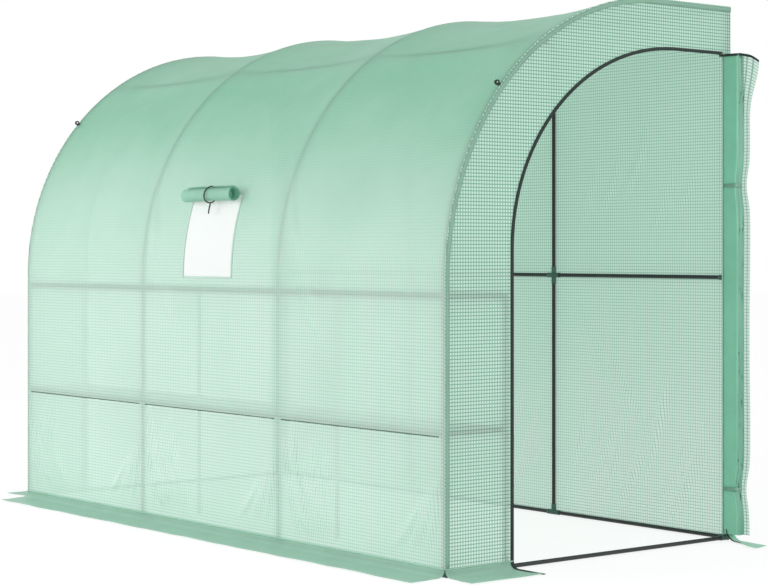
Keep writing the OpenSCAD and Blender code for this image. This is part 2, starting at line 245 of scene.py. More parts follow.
def coated_mesh(name, low, high, thread, through, rise, thread_width=0.0034, thread_share=0.9,
                press=None):
    # Coated PE scrim: milky film that passes light, with threads every half inch
    # that are darker and less clear. The film's colour goes from low to high over
    # the lengths in rise; this is painted light and shade, paler low down where the
    # floor lights it and deeper green higher up where less light falls. Its
    # clearness goes from one value of through to the other. Where press names a
    # wire behind it, the film clings and clears.
    m, t, out = material(name)
    uv = node(t, "UVMap", {"uv_map": "threads"}).outputs[0]
    split = node(t, "SeparateXYZ", Vector=uv)
    lines = []
    half = thread_width / PITCH / 2
    soft = 0.35 * half
    for axis in (0, 1):
        near = split.outputs[axis]
        for step, value in (("MULTIPLY", 1 / PITCH), ("FRACT", 0.0), ("SUBTRACT", 0.5), ("ABSOLUTE", 0.0)):
            near = node(t, "Math", {"operation": step}, i0=near, i1=value).outputs[0]
        line = node(t, "MapRange", {"interpolation_type": "SMOOTHSTEP"},
                    Value=near, i1=half - soft, i2=half + soft, i3=1.0, i4=0.0)
        lines.append(line.outputs[0])
    weave = node(t, "Math", {"operation": "MAXIMUM"}, i0=lines[0], i1=lines[1]).outputs[0]
    place = node(t, "TexCoord").outputs["Object"]
    cloud = node(t, "TexNoise", Vector=place, Scale=per_metre(455), Detail=3.0, Roughness=0.55)
    climb = node(t, "MapRange", {"interpolation_type": "SMOOTHSTEP"},
                 Value=split.outputs[1], i1=rise[0], i2=rise[1]).outputs[0]
    drift = node(t, "MapRange", Value=cloud.outputs["Fac"], i1=0.3, i2=0.7, i3=-0.09, i4=0.09)
    # Painted light and shade: the film's colour goes from pale low down to deeper green higher up, with
    # random cloud added.
    deep = node(t, "Math", {"operation": "ADD", "use_clamp": True}, i0=climb, i1=drift.outputs[0])
    milky_with_painted_shade = node(t, "Mix", {"data_type": "RGBA"}, i0=deep.outputs[0], i6=linear(low), i7=linear(high))
    fade = node(t, "MapRange", Value=climb, i3=thread_share, i4=thread_share * rise[2])
    shade = node(t, "Math", {"operation": "MULTIPLY"}, i0=weave, i1=fade.outputs[0])
    colour = node(t, "Mix", {"data_type": "RGBA"}, i0=shade.outputs[0],
                  i6=milky_with_painted_shade.outputs[2], i7=linear(thread))
    bump = node(t, "Bump", Height=weave, Strength=0.5, Distance=0.0004)
    face = node(t, "BsdfPrincipled", Base_Color=colour.outputs[2], Roughness=0.34,
                IOR=1.45, Normal=bump.outputs[0])
    glow = node(t, "BsdfTranslucent", Color=colour.outputs[2], Normal=bump.outputs[0])
    body = node(t, "MixShader", Fac=0.40, i1=face.outputs[0], i2=glow.outputs[0])
    clear = node(t, "BsdfTransparent", Color=linear("#E6F8F0"))
    open_film = node(t, "MapRange", Value=climb, i3=through[0], i4=through[1]).outputs[0]
    block = node(t, "MapRange", Value=weave, i3=1.0, i4=0.3).outputs[0]
    see = node(t, "Math", {"operation": "MULTIPLY"}, i0=open_film, i1=block).outputs[0]
    if press:
        level, thick, first, bay_w, stop = press
        off = node(t, "Math", {"operation": "SUBTRACT"}, i0=split.outputs[1], i1=level)
        off = node(t, "Math", {"operation": "ABSOLUTE"}, i0=off.outputs[0])
        band = node(t, "MapRange", Value=off.outputs[0], i1=0.4 * thick, i2=0.8 * thick, i3=0.8, i4=0.0)
        bay = split.outputs[0]
        for step, value in (("SUBTRACT", first), ("MODULO", bay_w), ("SUBTRACT", bay_w / 2),
                            ("ABSOLUTE", 0.0), ("LESS_THAN", bay_w / 2 - stop)):
            bay = node(t, "Math", {"operation": step}, i0=bay, i1=value).outputs[0]
        band = node(t, "Math", {"operation": "MULTIPLY"}, i0=band.outputs[0], i1=bay)
        see = node(t, "Math", {"operation": "MAXIMUM"}, i0=see, i1=band.outputs[0]).outputs[0]
    mix = node(t, "MixShader", Fac=see, i1=body.outputs[0], i2=clear.outputs[0])
    t.links.new(mix.outputs[0], out.inputs[0])
    return m


low_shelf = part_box("shelf_low")
shelf_level = (low_shelf[0][2] + low_shelf[1][2]) / 2 - hem_z
rim_gap = low_shelf[0][0] - hoop_x[0]
# The front sheet's colour runs from pale at the foot to deep green over the roof, and the end sheets' a
# little paler low down: painted light and shade.
front_film = coated_mesh("coated_mesh_front_painted_shade", "#E8FAF2", "#8AC8A9", "#B2DAC8", (0.12, 0.03),
                         (0.75, 1.95, 0.35), 0.0038, 0.85,
                         (shelf_level, 0.005, hoop_x[0], hoop_x[1] - hoop_x[0], rim_gap))
end_film = coated_mesh("coated_mesh_end", "#E8FBF3", "#E0F8ED", "#83B4A0", (0.20, 0.12),
                       (0.2, 1.9, 1.0), 0.0036, 1.0)

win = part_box("window_net")
win_x = (win[0][0], win[1][0])


def profile(s):
    """Point and outward direction at a length s up the front, from the skirt's seam."""
    up = eave_z - hem_z
    turn = eave_r * math.pi / 2
    angle = np.clip((s - up) / eave_r, 0, math.pi / 2)
    y = eave_y - eave_r * np.cos(angle) + np.clip(s - up - turn, 0, None)
    z = np.where(s < up, hem_z + s, eave_z + eave_r * np.sin(angle))
    return y, z, -np.cos(angle), np.sin(angle), angle


def length_at(z):
    """Length up the front to a height on the eave."""
    return eave_z - hem_z + eave_r * math.asin((z - eave_z) / eave_r)


sheet_len = (eave_z - hem_z) + eave_r * math.pi / 2 + (wall_y - eave_y)
win_s = (length_at(win[0][2]), length_at(win[1][2]))


def sink(x, s):
    """How far the sheet lies inside the cover's outline: over hoops, between them, and in folds."""
    angle = profile(s)[4]
    bay = np.clip(np.searchsorted(hoop_x, x, side="right") - 1, 0, 2)
    x0 = np.array(hoop_x)[bay]
    u = np.clip((x - x0) / (hoop_x[1] - hoop_x[0]), 0, 1)
    belly = 4 * u * (1 - u)
    flat = np.clip((s - (sheet_len - (wall_y - eave_y))) / (wall_y - eave_y), 0, 1)
    depth = SAG * smooth(0.05, 0.95, angle) * (1 - smooth(0.15, 0.93, flat))
    away = (angle - PURLIN_ANGLE) * eave_r
    depth = np.minimum(depth, PURLIN_SINK + 0.02 * (1 - np.exp(-(away / 0.16) ** 2)))
    down = LIE + depth * belly**0.85
    hoop_gap = np.min([abs(x - h) for h in hoop_x], axis=0)
    down = down + (ON_TUBE - LIE) * np.exp(-(hoop_gap / 0.018) ** 2)
    loose = smooth(0.02, 0.25, belly) * smooth(0.1, 0.5, angle) * (1 - smooth(0.5, 0.93, flat))
    down = down + 0.0024 * loose * waves(x, s, 0.42, 3) + 0.0010 * loose * waves(x * 1.3, s, 0.13, 4)
    calm = smooth(0.02, 0.2, belly) * (1 - smooth(0.1, 0.4, angle))
    return down + 0.0009 * calm * waves(x, s, 0.3, 5)


FOLD_WIDTH = 1.8  # scales the width of every fold in the front
FOLD_HEIGHT = 3.6  # and its height
FRONT_FOLDS = []
for k, h in enumerate(hoop_x[:3]):
    for n in range(9):
        high = 0.47 - 0.035 * ((n * 5 + k) % 6)
        begin = h + 0.02 + 0.030 * n + 0.012 * ((n * 3 + k) % 3)
        FRONT_FOLDS.append(((begin, high), (begin + 0.06 + 0.022 * ((n + k) % 4), 0.03 + 0.02 * (n % 3)),
                            0.010 + 0.002 * (n % 3), 0.0046 - 0.0003 * n, 0.010 + 0.004 * (n % 2)))
for h in hoop_x[1:]:
    for n in range(5):
        begin = h - 0.015 - 0.028 * n
        FRONT_FOLDS.append(((begin, 0.34 - 0.03 * n), (begin - 0.07 - 0.02 * n, 0.05 + 0.02 * (n % 2)),
                            0.010, 0.0030 - 0.0003 * n, -0.01))
for h in hoop_x[1:3]:
    for n in range(4):
        FRONT_FOLDS.append(((h + 0.01 + 0.012 * n, 1.42 - 0.10 * n), (h + 0.16 + 0.05 * n, 1.10 - 0.12 * n),
                            0.012, 0.0022, 0.015))


def front_points(xs, ss, lift=0.0):
    """Points of the sheet at places along and lengths up, and their thread lengths."""
    x, s = np.meshgrid(xs, ss)
    y, z, ny, nz, _ = profile(s)
    down = sink(x, s)
    for start, end, width, height, bend in FRONT_FOLDS:
        down = down - fold(x, s, start, end, FOLD_WIDTH * width, FOLD_HEIGHT * height, bend)
    turn = np.clip((abs(x) - (end_x - EDGE_R)) / EDGE_R, 0, 1)
    down = np.where(turn > 0, EDGE_R * (1 - np.sqrt(1 - turn**2)) + 0.0004, down)
    down = np.clip(down, -0.012, None) - lift
    points = np.stack([x, y - ny * down, z - nz * down], -1)
    return points.reshape(-1, 3), np.stack([x, s], -1).reshape(-1, 2)


def spaced(cuts, step):
    """Places from the first cut to the last, through every cut, about a step apart."""
    out = [cuts[0]]
    for a, b in zip(cuts, cuts[1:]):
        count = max(1, round((b - a) / step))
        out.extend(a + (b - a) * k / count for k in range(1, count + 1))
    return np.array(out)


edge_cuts = [end_x - EDGE_R + EDGE_R * math.sin(math.radians(a)) for a in (0, 20, 40, 60, 78, 90)]
inner_cuts = [-end_x + EDGE_R, hoop_x[1], *win_x, hoop_x[2], end_x - EDGE_R]
xs = np.concatenate([[-c for c in edge_cuts[:0:-1]], spaced(inner_cuts, 0.0095), edge_cuts[1:]])
FOLDED_UP_TO = 0.50
ss = np.concatenate([spaced([0.0, FOLDED_UP_TO], 0.011)[:-1],
                     spaced([FOLDED_UP_TO, win_s[0], win_s[1], sheet_len], 0.017)])
points, threads = front_points(xs, ss)
mid_x, mid_s = (xs[1:] + xs[:-1]) / 2, (ss[1:] + ss[:-1]) / 2
in_x = (mid_x > win_x[0]) & (mid_x < win_x[1])
in_s = (mid_s > win_s[0]) & (mid_s < win_s[1])
cells = grid_faces(len(ss), len(xs), ~(in_s[:, None] & in_x[None, :]))
points, cells, threads = drop_loose(points, cells, threads)
main_sheet = make_mesh("main_sheet", points, cells, threads, front_film)
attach(main_sheet, "root")
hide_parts("front_sheet", "eave_sheet_left", "eave_sheet_middle", "eave_sheet_right",
            "top_sheet")

# ---- Rear sheet ----
# The wall side is one upright panel of the same coated mesh, sewn to the main
# sheet along the top. It is slacker, so it creases slantwise between the posts.
RAIL_LEVELS = [sum(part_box(name)[k][2] for k in (0, 1)) / 2
               for name in ("base_rail_rear", "mid_rails_rear", "top_rail_rear")]


def rear_points(xs, zs):
    """Points of the wall side's sheet, which bellies and creases clear of posts and rails."""
    x, z = np.meshgrid(xs, zs)
    post_gap = np.min([abs(x - h) for h in hoop_x], axis=0)
    loose = smooth(0.01, 0.25, post_gap)
    for level in RAIL_LEVELS:
        loose = loose * smooth(0.012, 0.09, abs(z - level))
    y = wall_y - 0.0012 - 0.0035 * loose * (1 + waves(x, z, 0.5, 11)) / 2
    for k in range(3):
        h = hoop_x[k]
        for n in range(11):
            start = (h + 0.04 + 0.078 * n + 0.02 * (n % 2), 0.05 + 0.05 * ((n * 3) % 4))
            end = (start[0] + 0.16 + 0.04 * (n % 3), start[1] + 0.36 + 0.07 * ((n + k) % 3))
            high = 0.0125 * (1 - 0.4 * (n % 2))
            y = y - loose * fold(x, z, start, end, 0.020 + 0.005 * (n % 3), high, 0.02)
        for n in range(6):
            start = (h + 0.05 + 0.05 * n, 0.98 - 0.04 * n)
            end = (h + 0.22 + 0.07 * n, 0.66 - 0.06 * n)
            y = y - loose * fold(x, z, start, end, 0.020, 0.0080, 0.01)
        for n in range(5):
            start = (h + 0.10 + 0.15 * n, 1.20 + 0.08 * (n % 3))
            end = (start[0] + 0.16, start[1] + 0.34)
            y = y - loose * fold(x, z, start, end, 0.024, 0.0070, 0.02)
    points = np.stack([x, np.clip(y, None, wall_y - 0.0004), z], -1)
    return points.reshape(-1, 3), np.stack([x, z], -1).reshape(-1, 2)


# Painted light: the wall side's film is paler near the floor and a little deeper green at the top.
rear_film = coated_mesh("coated_mesh_rear_painted_light", "#F3FEF9", "#DAF6E9", "#93C4AF", (0.36, 0.14),
                        (0.0, 1.3, 1.0), 0.0034, 0.9)
xs = spaced([-end_x + 0.0005, hoop_x[1], hoop_x[2], end_x - 0.0005], 0.012)
zs = spaced([0.004, top_z - 0.001], 0.012)
points, threads = rear_points(xs, zs)
rear_sheet = make_mesh("rear_sheet_mesh", points, grid_faces(len(zs), len(xs)), threads, rear_film)
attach(rear_sheet, "root")
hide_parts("rear_sheet")

# ---- End sheets ----
# Each end is a flat panel of coated mesh with a tall rounded door opening,
# sewn to the main sheet along the end hoop.
door_y0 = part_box("right_end_panel")[1][1]
door_y1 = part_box("right_end_strip")[0][1]
tape_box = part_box("door_tapes")
TAPE_W = door_y0 - tape_box[0][1]
door_h = tape_box[1][2] - TAPE_W
door_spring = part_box("right_end_panel")[1][2]
DOOR_RY = 0.860  # half the depth of the arch over the door
arch_y = door_y0 + DOOR_RY


def outer_edge(part, t):
    """Edge along the cover, by part: up the front, round the eave, along the top, down the wall."""
    if part == 0:
        return front_y + 0 * t, hem_z + (eave_z - hem_z) * t
    if part == 1:
        a = t * math.pi / 2
        return eave_y - eave_r * np.cos(a), eave_z + eave_r * np.sin(a)
    if part == 2:
        return eave_y + (wall_y - eave_y) * t, top_z + 0 * t
    return wall_y + 0 * t, top_z + (hem_z - top_z) * t


def door_edge(part, t, grow=0.0):
    """Edge of the door opening by the same parts, moved out by grow."""
    if part == 0:
        return door_y0 - grow + 0 * t, hem_z + (door_spring - hem_z) * t
    if part == 1:
        a = t * math.pi / 2
        y = arch_y - (DOOR_RY + grow) * np.cos(a)
        return y, door_spring + (door_h - door_spring + grow) * np.sin(a)
    if part == 2:
        return arch_y + (door_y1 - arch_y) * t, door_h + grow + 0 * t
    return door_y1 + 0 * t, door_h + (hem_z - door_h) * t


def end_points(side):
    """Points of an end sheet, in rows from its outer edge in to the door's edge."""
    rows = []
    for part, count in ((0, 70), (1, 110), (2, 26), (3, 110)):
        t = np.linspace(0, 1, count + 1)[(0 if part == 0 else 1):]
        oy, oz = outer_edge(part, t)
        iy, iz = door_edge(part, t)
        rows.append(np.stack([oy, oz, iy, iz], -1))
    rows = np.concatenate(rows)
    v = np.linspace(0, 1, 17)
    inset = 0.0004
    y = rows[:, None, 0] + (rows[:, None, 2] - rows[:, None, 0]) * v
    z = rows[:, None, 1] + (rows[:, None, 3] - rows[:, None, 1]) * v
    y = np.clip(y, front_y + inset, wall_y - inset)
    hold = np.sin(math.pi * v) ** 0.6
    x = end_x - 0.0012 - 0.0022 * hold * (1 + waves(y, z, 0.3, 21)) / 2
    for n in range(7):
        start = (door_y0 - 0.02 - 0.03 * (n % 3), 0.12 + 0.13 * n)
        end = (start[0] - 0.15, start[1] + 0.10 + 0.03 * (n % 2))
        x = x - fold(y, z, start, end, 0.010, 0.0016, 0.01)
    return side * x, y, z


for side, name, hoop in ((1, "right", "hoop_4"), (-1, "left", "hoop_1")):
    x, y, z = end_points(side)
    points = np.stack([x, y, z], -1).reshape(-1, 3)
    threads = np.stack([y, z], -1).reshape(-1, 2)
    piece = make_mesh(f"{name}_end_sheet", points, grid_faces(*x.shape), threads, end_film)
    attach(piece, "root")
    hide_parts(f"{name}_end_panel", f"{name}_end_arch", f"{name}_end_strip")

# ---- Ground skirts ----
# Strips of plain coated sheet sewn along the foot of the cover, which turn out
# and lie on the ground, to be weighed down or buried.


def plain_sheet(name, colour, through, tint, glow_share=0.35):
    # Doubled PE sheet: deeper green, hardly any grid showing, soft shine.
    m, t, out = material(name)
    place = node(t, "TexCoord").outputs["Object"]
    cloud = node(t, "TexNoise", Vector=place, Scale=per_metre(143), Detail=4.0, Roughness=0.6)
    dark, light = ((*(share * c for c in linear(colour)[:3]), 1.0) for share in (0.86, 1.12))
    tone = node(t, "Mix", {"data_type": "RGBA"}, i0=cloud.outputs["Fac"], i6=dark, i7=light)
    grain = node(t, "TexNoise", Vector=place, Scale=per_metre(3.85), Detail=2.0)
    bump = node(t, "Bump", Height=grain.outputs["Fac"], Strength=0.25, Distance=0.0004)
    face = node(t, "BsdfPrincipled", Base_Color=tone.outputs[2], Roughness=0.4, IOR=1.45,
                Normal=bump.outputs[0])
    glow = node(t, "BsdfTranslucent", Color=tone.outputs[2], Normal=bump.outputs[0])
    body = node(t, "MixShader", Fac=glow_share, i1=face.outputs[0], i2=glow.outputs[0])
    clear = node(t, "BsdfTransparent", Color=linear(tint))
    mix = node(t, "MixShader", Fac=through, i1=body.outputs[0], i2=clear.outputs[0])
    t.links.new(mix.outputs[0], out.inputs[0])
    return m


skirt_sheet = plain_sheet("doubled_polyethylene_sheet", "#A2CDB8", 0.06, "#CFEFE0")
# The hem is paler than the skirt: a painted highlight along the seam where each sheet meets its skirt.
hem_sheet = plain_sheet("folded_polyethylene_hem_painted_highlight", "#BFE4D3", 0.05, "#CFEFE0")
TURN_R = hem_z - 0.002


def skirt_section(u):
    """Height and outward reach at a length u down a skirt from its seam."""
    turn = TURN_R * math.pi / 2
    a = np.clip(u / TURN_R, 0, math.pi / 2)
    out = TURN_R * (1 - np.cos(a)) + np.clip(u - turn, 0, None)
    up = hem_z - TURN_R * np.sin(a)
    return out, up


def skirt_points(run, width, seed, slant=(0.0, 0.0)):
    """A skirt along a run of lengths: (along, out, up) at each point."""
    flat_len = width - TURN_R + TURN_R * math.pi / 2
    u = np.linspace(0, flat_len, 22)
    a, b = np.meshgrid(run, u)
    out, up = skirt_section(b)
    far = smooth(0.3, 1.0, b / flat_len)
    along = a + far * (slant[0] * smooth(0.25, 0.0, (a - run[0]) / (run[-1] - run[0]))
                       + slant[1] * smooth(0.75, 1.0, (a - run[0]) / (run[-1] - run[0])))
    up = up + far * 0.0028 * (1 + waves(a, b, 0.22, seed)) * smooth(0.5, 0.8, b / flat_len)
    out = out + 0.003 * far * waves(a, 0 * b, 0.3, seed + 1)
    return along, out, up, (len(u), len(run)), flat_len


front_run = spaced([-end_x + 0.002, end_x - 0.002], 0.012)
skirt_w = front_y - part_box("front_skirt")[0][1]
along, out, up, shape, flat_len = skirt_points(front_run, skirt_w - 0.004, 31, (0.05, 0.02))
points = np.stack([along, front_y + 0.0005 - out, up], -1).reshape(-1, 3)
piece = make_mesh("front_ground_skirt", points, grid_faces(*shape), None, skirt_sheet)
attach(piece, "root")
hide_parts("front_skirt")

end_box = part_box("end_skirts")
end_skirt_w = end_box[1][0] - end_x - 0.004
for side, name in ((1, "right"), (-1, "left")):
    run = spaced([end_box[0][1], door_y0], 0.012)
    along, out, up, shape, end_skirt_len = skirt_points(run, end_skirt_w, 35 + side, (-0.022, 0.0))
    points = np.stack([side * (end_x - 0.0005 + out), along, up], -1).reshape(-1, 3)
    piece = make_mesh(f"{name}_ground_skirt", points, grid_faces(*shape), None, skirt_sheet)
    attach(piece, "root")
    if side > 0:
        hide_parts("end_skirts")

# ---- Door tapes ----
# Dark green woven zip tape, sewn round the edge of each door opening and down
# over the skirt. The zip's coil runs along its inner edge.
TWILL = 0.0015
TAPE_OUT = 0.0012
TAPE_THICK = 0.0014


def woven_tape():
    # Polyester zip tape: very dark green twill with a dull surface. A band of the
    # wave texture is a tenth of a turn long.
    m, t, out = material("woven_polyester_tape")
    place = node(t, "TexCoord").outputs["Object"]
    twill = node(t, "TexWave", {"wave_type": "BANDS", "bands_direction": "DIAGONAL"},
                 Vector=place, Scale=math.tau / 10 / TWILL, Distortion=1.5)
    tone = node(t, "Mix", {"data_type": "RGBA"}, i0=twill.outputs["Fac"],
                i6=linear("#001712"), i7=linear("#03251F"))
    bump = node(t, "Bump", Height=twill.outputs["Fac"], Strength=0.4, Distance=0.0005)
    cloth = node(t, "BsdfPrincipled", Base_Color=tone.outputs[2], Roughness=0.75,
                 Sheen_Weight=0.2, Normal=bump.outputs[0])
    t.links.new(cloth.outputs[0], out.inputs[0])
    return m


tape_finish = woven_tape()


def tape_lines(side):
    """Inner and outer edge of the tape: out along the skirt, up the jamb and over the arch."""
    u = np.linspace(end_skirt_len, 0, 16)[:-1]
    reach, up = skirt_section(u)
    foot_in = np.stack([end_x + TAPE_OUT + reach, 0 * u + door_y0, up + 0.002], -1)
    foot_out = foot_in - np.array([0, TAPE_W, 0])
    inner, outer = [foot_in], [foot_out]
    for part, count in ((0, 40), (1, 60), (2, 14)):
        t = np.linspace(0, 1, count + 1)[1:] if part else np.linspace(0, 1, count + 1)
        for lines, grow in ((inner, 0.0), (outer, TAPE_W)):
            y, z = door_edge(part, t, grow)
            lines.append(np.stack([0 * y + end_x + TAPE_OUT, y, z], -1))
    inner, outer = np.concatenate(inner), np.concatenate(outer)
    flip = np.array([side, 1, 1])
    return inner * flip, outer * flip


def ribbon(name, edge_a, edge_b, thick, finish):
    """A flat strip with real thickness between two edges."""
    across = edge_b - edge_a
    along = np.gradient((edge_a + edge_b) / 2, axis=0)
    normal = np.cross(along, across)
    normal = normal / np.linalg.norm(normal, axis=1)[:, None] * thick / 2
    ring = np.stack([edge_a - normal, edge_a + normal, edge_b + normal, edge_b - normal], 1)
    count = len(edge_a)
    faces = []
    for i in range(count - 1):
        for j in range(4):
            k = (j + 1) % 4
            faces.append((4 * i + j, 4 * i + k, 4 * i + 4 + k, 4 * i + 4 + j))
    faces += [(3, 2, 1, 0), tuple(4 * (count - 1) + j for j in range(4))]
    return make_mesh(name, ring.reshape(-1, 3), faces, None, finish)


def tube_along(name, path, radius, sides, finish, closed=False):
    """A round tube along a path of points."""
    path = np.asarray(path, float)
    count = len(path)
    if closed:
        along = np.roll(path, -1, 0) - np.roll(path, 1, 0)
    else:
        along = np.gradient(path, axis=0)
    along = along / np.linalg.norm(along, axis=1)[:, None]
    side = np.cross(along[0], [0.31, 0.17, 0.93])
    rings = []
    for k in range(count):
        side = side - np.dot(side, along[k]) * along[k]
        side = side / np.linalg.norm(side)
        up = np.cross(along[k], side)
        angles = np.arange(sides) * 2 * math.pi / sides
        rings.append(path[k] + radius * (np.cos(angles)[:, None] * side + np.sin(angles)[:, None] * up))
    faces = []
    for i in range(count if closed else count - 1):
        n = (i + 1) % count
        for j in range(sides):
            k = (j + 1) % sides
            faces.append((i * sides + j, i * sides + k, n * sides + k, n * sides + j))
    if not closed:
        faces += [tuple(range(sides))[::-1], tuple((count - 1) * sides + j for j in range(sides))]
    return make_mesh(name, np.concatenate(rings), faces, None, finish)


for side, name in ((1, "right"), (-1, "left")):
    inner, outer = tape_lines(side)
    piece = ribbon(f"{name}_door_tape", inner, outer, TAPE_THICK, tape_finish)
    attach(piece, "root")
    if side > 0:
        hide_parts("door_tapes")
    coil = tube_along(f"{name}_zip_coil", inner + np.array([side * 0.001, 0, 0]), 0.0016, 8, tape_finish)
    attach(coil, "root")

# ---- Hems and seams ----
# A folded hem joins the main sheet to each end sheet along the end hoop, and
# another closes each sheet above its ground skirt. Folded double and sewn.
HEM_W = 0.017
HEM_THICK = 0.0012
SEAM_OUT = 0.0006
RIM = 0.004  # how far inside the cover's corner the end seam starts

for side, name in ((1, "right"), (-1, "left")):
    edge, inner = [], []
    for part, count in ((0, 40), (1, 90), (2, 16)):
        t = np.linspace(0, 1, count + 1)[(0 if part == 0 else 1):]
        y, z = outer_edge(part, t)
        turn = t * math.pi / 2 if part == 1 else np.full(len(t), 0.0 if part == 0 else math.pi / 2)
        for lines, deep in ((edge, RIM), (inner, RIM + HEM_W)):
            y_in, z_in = y + deep * np.cos(turn), z - deep * np.sin(turn)
            lines.append(np.stack([0 * y + end_x + SEAM_OUT, y_in, z_in], -1))
    flip = np.array([side, 1, 1])
    piece = ribbon(f"{name}_end_seam", np.concatenate(edge) * flip, np.concatenate(inner) * flip,
                   HEM_THICK, skirt_sheet)
    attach(piece, "root")

for side, name in ((1, "right"), (-1, "left")):
    jamb = np.linspace(hem_z, door_h, 60)
    line = np.stack([0 * jamb + side * (end_x + 0.0012), 0 * jamb + door_y1 + 0.001, jamb], -1)
    piece = ribbon(f"{name}_jamb_hem", line - np.array([0, 0.004, 0]), line + np.array([0, 0.006, 0]),
                   HEM_THICK, hem_sheet)
    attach(piece, "root")

# The hems above the skirts are drawn pale, a painted highlight along the seam.
hem_line = np.stack([front_run, 0 * front_run + front_y - 0.0005, 0 * front_run + hem_z], -1)
piece = tube_along("front_hem", hem_line, 0.0034, 8, hem_sheet)
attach(piece, "root")
for side, name in ((1, "right"), (-1, "left")):
    line = np.stack([0 * run + side * (end_x + 0.0005), run, 0 * run + hem_z], -1)
    piece = tube_along(f"{name}_end_hem", line, 0.003, 8, hem_sheet)
    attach(piece, "root")

# ---- Door flaps ----
# Each door is a flap of coated mesh, drawn to the wall side in narrow pleats
# and tied. Its last pleat stands out single, and fans out at the top.
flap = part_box("right_door_flap")
flap_y = (flap[0][1] + 0.003, flap[1][1] - 0.003)
flap_top = flap[1][2]
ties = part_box("flap_ties")
TIE_W = 0.014
tie_z = (ties[0][2] + TIE_W / 2, ties[1][2] - TIE_W / 2)
PLEATS = 13
TAIL = 14  # grid steps across the single pleat
PLEAT_REACH = 0.074
LAST_REACH = 0.103
TOP_REACH = 0.150
FAN_Z = 1.66
ROOT_X = 0.004


def waist(z):
    """How far the bundle is drawn in by its two ties."""
    pull = sum(np.exp(-((z - level) / 0.07) ** 2) for level in tie_z)
    return 1 - 0.17 * pull


def flap_grid():
    """Points across (along the pleated width) and up (z) of one gathered flap."""
    step = (flap_y[1] - flap_y[0]) / (2 * PLEATS)
    across = []
    for n in range(2 * PLEATS):
        y = flap_y[0] + step * (n + 0.5)
        out = np.linspace(0, 1, 7)
        out = out if n % 2 == 0 else 1 - out
        for k, o in enumerate(out[:-1]):
            across.append((o, y + step * (k / 6 - 0.5), n))
    tail = np.linspace(0, 1, TAIL + 1)
    across.extend((o, flap_y[1], 2 * PLEATS) for o in tail)
    ups = np.concatenate([np.linspace(hem_z, 1.5, 64), np.linspace(1.5, flap_top, 46)[1:]])
    o, y, n = (np.array(v)[None, :] for v in zip(*across))
    z = ups[:, None]
    single = n == 2 * PLEATS
    fan = smooth(FAN_Z, flap_top, z)
    reach = np.where(single, LAST_REACH + (TOP_REACH - LAST_REACH) * fan**1.3, PLEAT_REACH)
    reach = reach * waist(z) * (1 + 0.045 * waves(n * 0.35, z, 0.7, 51) * (n > 0))
    x = end_x + ROOT_X + o * reach
    deep = y + 0.0022 * waves(0.4 * n, z, 0.55, 52) * (o > 0.05) * (n > 0)
    deep = deep - np.where(single, 0.018 * fan * np.sin(math.pi * np.clip(o, 0, 1)), 0.0)
    drop = np.where(single, 0.030 * fan * np.clip(o - 0.55, 0, 1) ** 2 / 0.2, 0.0)
    up = z - drop + 0 * o
    width = np.cumsum(np.concatenate([[0], np.hypot(np.diff(o[0] * PLEAT_REACH), np.diff(y[0]))]))
    return x, np.clip(deep + 0 * z, None, wall_y - 0.004), up, width[None, :] + 0 * z, z + 0 * o


# The flap's film too is a little paler low down and deeper higher up, as painted light and shade.
flap_film = coated_mesh("coated_mesh_flap", "#DDF5EA", "#D6F1E4", "#83B09E", (0.42, 0.42),
                        (0.0, 2.0, 1.0), 0.0034, 1.0)
fold_sheet = plain_sheet("gathered_polyethylene_sheet", "#95DABD", 0.0, "#CFEFE0", 0.08)
for side, name in ((1, "right"), (-1, "left")):
    x, y, z, across, up = flap_grid()
    points = np.stack([side * x, y, z], -1).reshape(-1, 3)
    threads = np.stack([across, up], -1).reshape(-1, 2)
    piece = make_mesh(f"{name}_door_flap_mesh", points, grid_faces(*x.shape), threads, flap_film)
    piece.data.materials.append(fold_sheet)
    columns = x.shape[1] - 1
    for k, face in enumerate(piece.data.polygons):
        face.material_index = 1 if k % columns < columns - TAIL else 0
    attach(piece, "root")
    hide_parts(f"{name}_door_flap")

    # The tape that is sewn to the flap's own top edge.
    rim = np.stack([x[-1, -4:], y[-1, -4:], z[-1, -4:]], -1)
    front = flap_y[0] - 0.004
    lead = [(end_x - 0.012, front - 0.006), (end_x + 0.03, front), (end_x + 0.06, front + 0.002),
            (end_x + 0.085, front + 0.010)]
    lead = np.array([(*place, flap_top + 0.001) for place in lead])
    line = np.concatenate([lead, rim]) * np.array([side, 1, 1])
    lower = line - np.array([0, 0, TAPE_W * 0.8])
    piece = ribbon(f"{name}_flap_tape", lower + np.array([0, -0.001, 0]), line + np.array([0, -0.001, 0]),
                   TAPE_THICK, tape_finish)
    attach(piece, "root")

    # Bands of the same sheet, tied round the bundle.
    for level, height in zip(tie_z, ("low", "high")):
        reach = PLEAT_REACH * 0.84 + 0.004
        middle_y = (flap_y[0] + flap_y[1]) / 2
        half_y = (flap_y[1] - flap_y[0] + 0.008) / 2
        ring = []
        for a in np.linspace(0, 2 * math.pi, 41):
            c, d = (math.copysign(abs(v) ** 0.4, v) for v in (math.cos(a), math.sin(a)))
            ring.append((side * (end_x + 0.003 + reach / 2 * (1 + c)), middle_y + half_y * d, level))
        ring = np.array(ring)
        rise = np.array([0, 0, TIE_W / 2])
        piece = ribbon(f"{name}_flap_tie_{height}", ring - rise, ring + rise, HEM_THICK, skirt_sheet)
        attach(piece, "root")
        if side > 0 and height == "low":
            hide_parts("flap_ties")

# ---- Flap skirts ----
# The foot of each door flap turns out of the bundle and lies on the ground,
# swung a little to the front. The flap's zip tape runs on along its edge.
flap_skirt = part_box("flap_skirts")
FOOT_TURN = 0.045


def foot_section(u):
    """Height and outward reach down the foot of a flap, from just inside the bundle."""
    a = np.clip(u / FOOT_TURN, 0, math.pi / 2)
    reach = 0.018 + FOOT_TURN * (1 - np.cos(a)) + np.clip(u - FOOT_TURN * math.pi / 2, 0, None)
    return reach, FOOT_TURN + 0.003 - FOOT_TURN * np.sin(a)


